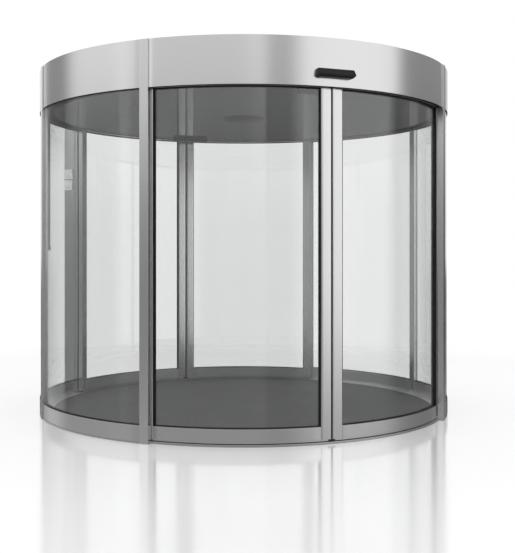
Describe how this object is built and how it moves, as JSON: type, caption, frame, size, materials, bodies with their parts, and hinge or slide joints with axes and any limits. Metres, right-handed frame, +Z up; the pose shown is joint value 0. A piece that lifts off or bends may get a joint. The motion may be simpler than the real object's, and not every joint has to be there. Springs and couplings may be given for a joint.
{
  "type": "circular sliding door",
  "caption": "Round aluminium and glass entrance drum whose curved leaves part in pairs along the drum and slide behind fixed glazed side screens, under a sheet metal header.",
  "frame": {"origin": "the drum's axis at floor level", "axes": "+Z up along the drum's axis, -Y out of the front doorway, +X to the right of someone who faces the front"},
  "size_m": [3.012, 3.084, 2.44],
  "materials": {
    "frame_aluminium": "satin anodised",
    "fascia_aluminium": "brushed",
    "floor_ring_aluminium": "satin",
    "header_metal": "matt",
    "glass": "clear",
    "entrance_mat": "ribbed",
    "ceiling_gloss": "gloss",
    "ceiling_light": "satin",
    "sensor_plastic": "gloss",
    "switch_plate": "satin",
    "button_plastic": "satin"
  },
  "bodies": {
    "drum": {"floor_ring": "floor_ring_aluminium", "entrance_mat": "entrance_mat", "front_left_post": "frame_aluminium", "front_right_post": "frame_aluminium", "rear_left_post": "frame_aluminium", "rear_right_post": "frame_aluminium", "left_mid_post": "frame_aluminium", "right_mid_post": "frame_aluminium", "front_left_screen_rails": "frame_aluminium", "front_right_screen_rails": "frame_aluminium", "rear_left_screen_rails": "frame_aluminium", "rear_right_screen_rails": "frame_aluminium", "front_left_screen_glass": "glass", "front_right_screen_glass": "glass", "rear_left_screen_glass": "glass", "rear_right_screen_glass": "glass", "front_fascia": "fascia_aluminium", "rear_fascia": "fascia_aluminium", "front_left_fascia": "fascia_aluminium", "front_right_fascia": "fascia_aluminium", "rear_left_fascia": "fascia_aluminium", "rear_right_fascia": "fascia_aluminium", "ceiling_panel": "ceiling_gloss", "roof_cover": "header_metal", "door_track": "header_metal", "ceiling_light": "ceiling_light", "outside_sensors": "sensor_plastic", "inside_sensors": "sensor_plastic", "switch_column": "frame_aluminium", "switch_plates": "switch_plate", "cable_channel": "frame_aluminium", "release_button": "button_plastic"},
    "front_left_leaf": {"front_left_leaf_stiles": "frame_aluminium", "front_left_leaf_rails": "frame_aluminium", "front_left_leaf_glass": "glass"},
    "front_right_leaf": {"front_right_leaf_stiles": "frame_aluminium", "front_right_leaf_rails": "frame_aluminium", "front_right_leaf_glass": "glass"},
    "rear_left_leaf": {"rear_left_leaf_stiles": "frame_aluminium", "rear_left_leaf_rails": "frame_aluminium", "rear_left_leaf_glass": "glass"},
    "rear_right_leaf": {"rear_right_leaf_stiles": "frame_aluminium", "rear_right_leaf_rails": "frame_aluminium", "rear_right_leaf_glass": "glass"}
  },
  "joints": [
    {"name": "front_left_leaf_slide", "type": "hinge", "parent": "drum", "child": "front_left_leaf", "pos_m": [0, 0, 0], "axis": [0, 0, -1], "range_deg": [0, 41]},
    {"name": "front_right_leaf_slide", "type": "hinge", "parent": "drum", "child": "front_right_leaf", "pos_m": [0, 0, 0], "axis": [0, 0, 1], "range_deg": [0, 41]},
    {"name": "rear_left_leaf_slide", "type": "hinge", "parent": "drum", "child": "rear_left_leaf", "pos_m": [0, 0, 0], "axis": [0, 0, 1], "range_deg": [0, 41]},
    {"name": "rear_right_leaf_slide", "type": "hinge", "parent": "drum", "child": "rear_right_leaf", "pos_m": [0, 0, 0], "axis": [0, 0, -1], "range_deg": [0, 41]}
  ],
  "couplings": [
    {"joint": "front_right_leaf_slide", "follows": "front_left_leaf_slide", "ratio": 1},
    {"joint": "rear_right_leaf_slide", "follows": "rear_left_leaf_slide", "ratio": 1}
  ]
}
